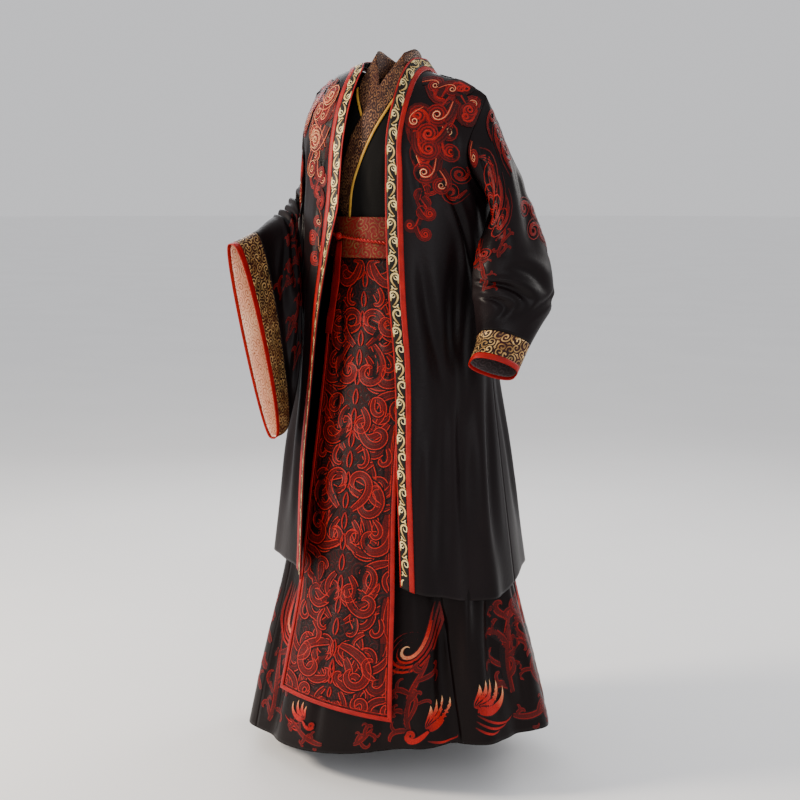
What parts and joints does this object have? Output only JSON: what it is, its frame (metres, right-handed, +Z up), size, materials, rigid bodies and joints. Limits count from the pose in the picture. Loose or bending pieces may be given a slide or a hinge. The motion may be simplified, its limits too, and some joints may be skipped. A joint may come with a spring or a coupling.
{
  "type": "worn hanfu robe set",
  "caption": "Open wide-sleeved black satin robe over a crossed-collar top, long flared skirt, belt and hanging front panel, holding its worn shape.",
  "frame": {"origin": "middle of the base of the neck, where the shoulders of the wearer hold the robe", "axes": "+Z up, the front faces -Y, +X is the wearer's left"},
  "size_m": [0.72, 0.5582, 1.4527],
  "materials": {
    "black_satin": "satin with a soft sheen, printed and embroidered motifs",
    "black_cloth": "matt plain weave",
    "red_silk": "smooth red silk",
    "scroll_band": "cream and gold scrolls woven on black",
    "cuff_brocade": "gold figure on dark maroon, woven",
    "facing_silk": "pale pink figured silk",
    "grey_facing": "plain grey lining cloth",
    "lapel_brocade": "brown and maroon, finely figured",
    "gold_piping": "gold satin piping",
    "belt_brocade": "red with a dull gold woven figure",
    "apron_brocade": "red ornament on black",
    "skirt_satin": "satin with red and gold motifs"
  },
  "bodies": {
    "root": {"robe_front_left": "black_satin", "robe_front_right": "black_satin", "robe_back_left": "black_satin", "robe_back_right": "black_satin", "sleeve_left": "black_satin", "sleeve_right": "black_satin", "cuff_band_left": "cuff_brocade", "cuff_band_right": "cuff_brocade", "cuff_edge_left": "red_silk", "cuff_edge_right": "red_silk", "sleeve_facing_left": "grey_facing", "sleeve_facing_right": "facing_silk", "collar_piping": "red_silk", "collar_band": "scroll_band", "collar_strip": "red_silk", "inner_front_left": "black_cloth", "inner_front_right": "black_cloth", "inner_back": "black_cloth", "inner_collar": "lapel_brocade", "inner_piping_left": "gold_piping", "inner_piping_right": "gold_piping", "skirt_front": "skirt_satin", "skirt_left": "skirt_satin", "skirt_back": "skirt_satin", "skirt_right": "skirt_satin", "apron_panel": "apron_brocade", "apron_binding": "red_silk", "belt": "belt_brocade", "belt_cord": "red_silk", "belt_knot": "red_silk", "belt_ribbon": "red_silk"}
  },
  "joints": []
}
